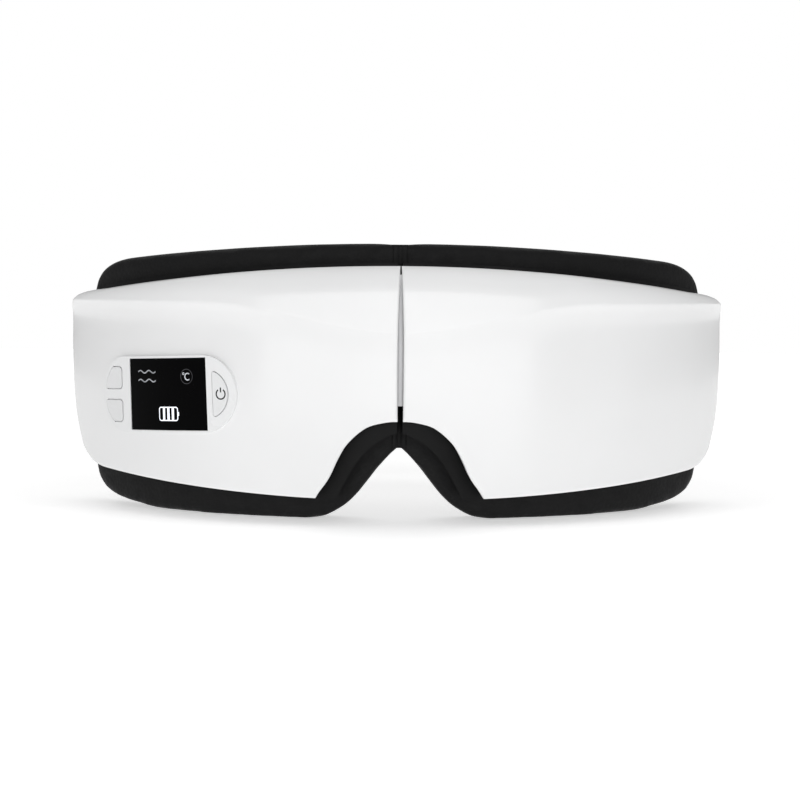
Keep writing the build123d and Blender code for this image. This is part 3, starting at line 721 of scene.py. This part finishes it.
def tubes(name, paths, radius, sides, material, closed=False):
    """Round threads or piping along paths of points."""
    vertices, faces = [], []
    for points in paths:
        count = len(points)
        rings = []
        for n, point in enumerate(points):
            before = points[n - 1] if n or closed else point
            after = points[(n + 1) % count] if n < count - 1 or closed else point
            tangent = (Vector(after) - Vector(before)).normalized()
            out = tangent.cross(Vector((0, 1, 0))).normalized()
            up = out.cross(tangent)
            rings.append(len(vertices))
            for k in range(sides):
                turn = 2 * pi * k / sides
                vertices.append(Vector(point) + radius * (cos(turn) * out + sin(turn) * up))
        for n in range(count if closed else count - 1):
            a, b = rings[n], rings[(n + 1) % count]
            faces += [(a + k, a + (k + 1) % sides, b + (k + 1) % sides, b + k) for k in range(sides)]
        if not closed:
            faces.append(tuple(range(rings[0], rings[0] + sides))[::-1])
            faces.append(tuple(range(rings[-1], rings[-1] + sides)))
    return piece(name, vertices, faces, material)


def dashes(points, on, off, lift=0.12):
    """Cuts a path into stitches of one length with gaps of another, each slightly arched."""
    lengths = [0.0]
    for a, b in zip(points, points[1:]):
        lengths.append(lengths[-1] + (Vector(b) - Vector(a)).length)

    def at(distance):
        n = 0
        while n < len(points) - 2 and lengths[n + 1] < distance:
            n += 1
        share = (distance - lengths[n]) / (lengths[n + 1] - lengths[n])
        return Vector(points[n]).lerp(Vector(points[n + 1]), share)

    cut = []
    start = 0.0
    while start + on < lengths[-1]:
        ends = [at(start + on * k / 4) for k in range(5)]
        cut.append([spot + Vector((0, lift * sin(pi * k / 4), 0)) for k, spot in enumerate(ends)])
        start += on + off
    return cut


def cushion_back(x):
    """Where the back of the cushion lies, at a distance x from the middle."""
    return min(plan_y(FACE, x), AXIS_Y + 0.839 * (x - 0.4))


def eye_loop(margin, set_in, side, count=120):
    """Points round an eye opening on the back of the cushion."""
    loop = []
    for k in range(count + 1):
        turn = 2 * pi * k / count
        x = EYE_X + (EYE_HALF_WIDE + margin) * cos(turn)
        z = EYE_Z + (EYE_HALF_TALL + margin) * sin(turn)
        loop.append((side * x, cushion_back(x) - set_in, z))
    return loop


for name, side in (("right", 1), ("left", -1)):
    cushion = padded_copy(
        f"{name}_face_cushion", f"{name}_cushion", 0.0011, CUSHION_BLACK,
        cushion_loose, 0.0012,
    )
    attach(cushion, f"{name}_half")
    pad = padded_copy(f"{name}_eye_pad", f"{name}_pad", 0.0007, PAD_BLACK, pad_loose, 0.0005)
    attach(pad, f"{name}_half")
    welt_path = eye_loop(0.5, 0.75, side)[:-1]
    welt = tubes(f"{name}_eye_welt", [welt_path], 0.75, 10, CUSHION_BLACK, closed=True)
    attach(welt, f"{name}_half")
    seam_path = dashes(eye_loop(3.0, -0.25, side), 2.0, 1.0)
    seam = tubes(f"{name}_eye_stitches", seam_path, 0.17, 6, THREAD_GREY)
    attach(seam, f"{name}_half")


def gusset(name, low, high):
    """Leather that joins the two cushions across the fold, between two heights. Its sides lie inside them."""
    columns = [-2.2 + 0.4 * k for k in range(12)]
    vertices, faces = [], []
    rows = 12
    for depth in (0.0, 0.8):
        for j in range(rows + 1):
            for x in columns:
                dip = 0.5 * exp(-((x / 0.7) ** 2))
                vertices.append((x, AXIS_Y - 2.0 + dip + depth, low + (high - low) * j / rows))
    width = len(columns)
    sheet = width * (rows + 1)
    for j in range(rows):
        for k in range(width - 1):
            a = j * width + k
            faces.append((a, a + 1, a + width + 1, a + width))
            faces.append((sheet + a, sheet + a + width, sheet + a + width + 1, sheet + a + 1))
    rim = list(range(width)) + [j * width + width - 1 for j in range(1, rows + 1)]
    rim += [rows * width + k for k in range(width - 2, -1, -1)] + [j * width for j in range(rows - 1, 0, -1)]
    for a, b in zip(rim, rim[1:] + rim[:1]):
        faces.append((a, a + sheet, b + sheet, b))
    obj = piece(name, vertices, faces, CUSHION_BLACK)
    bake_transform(obj)


gusset("upper_gusset", 72.8, 83.8)
gusset("lower_gusset", 22.4, 35.4)


# ---- Headband ----
BAR = (101.5, FRONT + 69.5)
BAND_LOW, BAND_HIGH = 33.0, 61.0
BAND_HALF = 0.8  # half of its thickness
LOOP_R = 2.35
TURN_Y = FRONT + 80.0
PATCH_HALF = 0.45
OUTER_REACH = 144.0 - 80.0 - BAND_HALF
INNER_REACH = OUTER_REACH - 2 * BAND_HALF - 2 * PATCH_HALF - 0.2
LAP = 12.0
STITCH_X = 102.42


def band_path(side, reach_back):
    """Plan points of half of the headband: its sewn loop round the bar, then round the head."""
    points = [(99.75, BAR[1] + y) for y in (14.0, 12.0, 10.0, 8.0, 6.0)]
    points += [(99.55, BAR[1] + 4.0), (99.25, BAR[1] + 2.0)]
    for k in range(13):
        turn = pi + pi * k / 12
        points.append((BAR[0] + LOOP_R * cos(turn), BAR[1] + LOOP_R * sin(turn)))
    points += [(103.7, BAR[1] + 2.0), (103.0, BAR[1] + 4.0), (102.2, BAR[1] + 6.0), (101.7, BAR[1] + 8.0)]
    last = -asin(LAP / BAR[0])
    for k in range(1, 73):
        turn = (0.5 * pi - last) * k / 72
        points.append((BAR[0] * cos(turn), TURN_Y + reach_back * sin(turn)))
    return [(side * x, y) for x, y in points]


def strip(name, node, path, low, high, half, ribs, material):
    """A flat strip of webbing on edge along a plan path, with thin selvedges and fine ribs."""
    heights = [low + (high - low) * k / ribs for k in range(ribs + 1)]
    vertices, faces, coords, rows = [], [], [], []
    run = 0.0
    for n, (x, y) in enumerate(path):
        a, b = path[max(0, n - 1)], path[min(len(path) - 1, n + 1)]
        dx, dy = b[0] - a[0], b[1] - a[1]
        length = hypot(dx, dy)
        nx, ny = dy / length, -dx / length
        if n:
            run += hypot(x - path[n - 1][0], y - path[n - 1][1])
        ring = []
        for face_side in (1, -1):
            for k, z in enumerate(heights if face_side > 0 else heights[::-1]):
                edge = min(k, ribs - k)
                thick = half * (0.5 if edge == 0 else 0.92 if edge < 3 else 0.86 + 0.1 * (k % 2))
                ring.append(len(vertices))
                vertices.append((x + face_side * nx * thick, y + face_side * ny * thick, z))
                coords.append((run * MM, z * MM))
        rows.append(ring)
    width = len(rows[0])
    for a, b in zip(rows, rows[1:]):
        for k in range(width):
            m = (k + 1) % width
            faces.append((a[k], a[m], b[m], b[k]))
    for k in range(ribs):
        for row, flip in ((rows[0], 1), (rows[-1], -1)):
            faces.append((row[k], row[k + 1], row[width - 2 - k], row[width - 1 - k])[::flip])
    mesh = bpy.data.meshes.new(name)
    mesh.from_pydata([Vector(v) * MM for v in vertices], [], faces)
    mesh.materials.append(material)
    layer = mesh.uv_layers.new(name="uv")
    for loop in mesh.loops:
        layer.data[loop.index].uv = coords[loop.vertex_index]
    bm = bmesh.new()
    bm.from_mesh(mesh)
    bmesh.ops.recalc_face_normals(bm, faces=bm.faces)
    bm.to_mesh(mesh)
    bm.free()
    obj = bpy.data.objects.new(name, mesh)
    bpy.context.scene.collection.objects.link(obj)
    for polygon in mesh.polygons:
        polygon.use_smooth = True
    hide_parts(node)
    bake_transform(obj)


for name, side, reach in (("right", 1, INNER_REACH), ("left", -1, OUTER_REACH)):
    strip(
        f"{name}_band", f"{name}_headband", band_path(side, reach), BAND_LOW, BAND_HIGH, BAND_HALF, 34,
        BAND_BLACK,
    )
    rows = []
    for y in (BAR[1] + 8.0, BAR[1] + 13.0):
        rows.append([(side * STITCH_X, y, BAND_LOW + 1.5 + k) for k in range(26)])
    for z in (BAND_LOW + 1.5, BAND_HIGH - 1.5):
        rows.append([(side * STITCH_X, BAR[1] + 8.0 + 0.5 * k, z) for k in range(11)])
    thread = [cut for row in rows for cut in dashes(row, 1.6, 0.8, 0.0)]
    stitches = tubes(f"{name}_band_stitches", thread, 0.16, 6, THREAD_GREY)
    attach(stitches, f"{name}_half")

patch_reach = INNER_REACH + BAND_HALF + 0.1 + PATCH_HALF
patch_turn = asin((LAP - 2) / BAR[0])
patch_path = [
    (BAR[0] * sin(patch_turn * k / 12), TURN_Y + patch_reach * cos(patch_turn * k / 12))
    for k in range(12, -13, -1)
]
strip(
    "fastening", "fastening_patch", patch_path, BAND_LOW + 2, BAND_HIGH - 2, PATCH_HALF, 24, PATCH_BLACK,
)


# ---- Stage, lights and camera ----
def emitter(name, location, target, energy, size):
    """An area light aimed at a point."""
    light = bpy.data.lights.new(name, "AREA")
    light.energy = energy
    light.shape = "RECTANGLE"
    light.size, light.size_y = size
    obj = bpy.data.objects.new(name, light)
    obj.location = location
    obj.rotation_euler = (Vector(target) - Vector(location)).to_track_quat("-Z", "Y").to_euler()
    bpy.context.scene.collection.objects.link(obj)


floor = bpy.data.objects.new("floor", bpy.data.meshes.new("floor"))
FLOOR_R = 1.25
rim = [(FLOOR_R * cos(2 * pi * k / 96), FLOOR_R * sin(2 * pi * k / 96), 0) for k in range(96)]
floor.data.from_pydata(rim, [], [tuple(range(96))])
bpy.context.scene.collection.objects.link(floor)
floor_material, _, floor_shader = new_material("floor", (0.86, 0.86, 0.86), 0.7)
floor_shader.inputs["Emission Color"].default_value = (1, 1, 1, 1)
far = floor_material.node_tree.nodes.new("ShaderNodeMapRange")
far.inputs["From Min"].default_value = 0.25
far.inputs["From Max"].default_value = FLOOR_R
far.inputs["To Min"].default_value = 0.52
far.inputs["To Max"].default_value = 0.85
spread = floor_material.node_tree.nodes.new("ShaderNodeVectorMath")
spread.operation = "LENGTH"
place = floor_material.node_tree.nodes.new("ShaderNodeTexCoord")
link(floor_material, place.outputs["Object"], spread.inputs[0])
link(floor_material, spread.outputs["Value"], far.inputs["Value"])
link(floor_material, far.outputs["Result"], floor_shader.inputs["Emission Strength"])
floor.data.materials.append(floor_material)

world = bpy.data.worlds.new("studio")
bpy.context.scene.world = world
world.use_nodes = True
world_nodes = world.node_tree.nodes
soft = world_nodes["Background"]
soft.inputs["Color"].default_value = (1, 1, 1, 1)
soft.inputs["Strength"].default_value = 0.34
clear = world_nodes.new("ShaderNodeBackground")
clear.inputs["Strength"].default_value = 1.0
clear.inputs["Color"].default_value = (1, 1, 1, 1)
either = world_nodes.new("ShaderNodeMixShader")
world_link = world.node_tree.links.new
path = world_nodes.new("ShaderNodeLightPath")
world_link(path.outputs["Is Camera Ray"], either.inputs["Fac"])
world_link(soft.outputs[0], either.inputs[1])
world_link(clear.outputs[0], either.inputs[2])
world_link(either.outputs[0], world_nodes["World Output"].inputs["Surface"])

emitter("top_light", (0.0, 0.0, 1.3), (0, 0, 0), 9, (2.4, 2.4))
emitter("front_light", (0.0, -1.0, 0.06), (0, 0, 0.05), 6.15, (1.9, 0.5))

DISTANCE = 0.5577
FOCAL_RATIO = 2.257  # lens over sensor width
ELEVATION = radians(3.9)
AZIMUTH = radians(-0.96)
ROLL = radians(0.4)
TARGET = Vector((0.0004, -0.040, 0.0362))
camera_data = bpy.data.cameras.new("camera")
camera_data.sensor_width = 36
camera_data.lens = 36 * FOCAL_RATIO
camera = bpy.data.objects.new("camera", camera_data)
back = Vector((sin(AZIMUTH) * cos(ELEVATION), -cos(AZIMUTH) * cos(ELEVATION), sin(ELEVATION)))
level = Vector((cos(AZIMUTH), sin(AZIMUTH), 0))
upward = level.cross(-back)
across = level * cos(ROLL) + upward * sin(ROLL)
upward = upward * cos(ROLL) - level * sin(ROLL)
turn = Matrix((across, upward, back)).transposed().to_4x4()
camera.matrix_world = Matrix.Translation(TARGET + back * DISTANCE) @ turn
bpy.context.scene.collection.objects.link(camera)
bpy.context.scene.camera = camera
bpy.context.scene.view_settings.view_transform = "Standard"
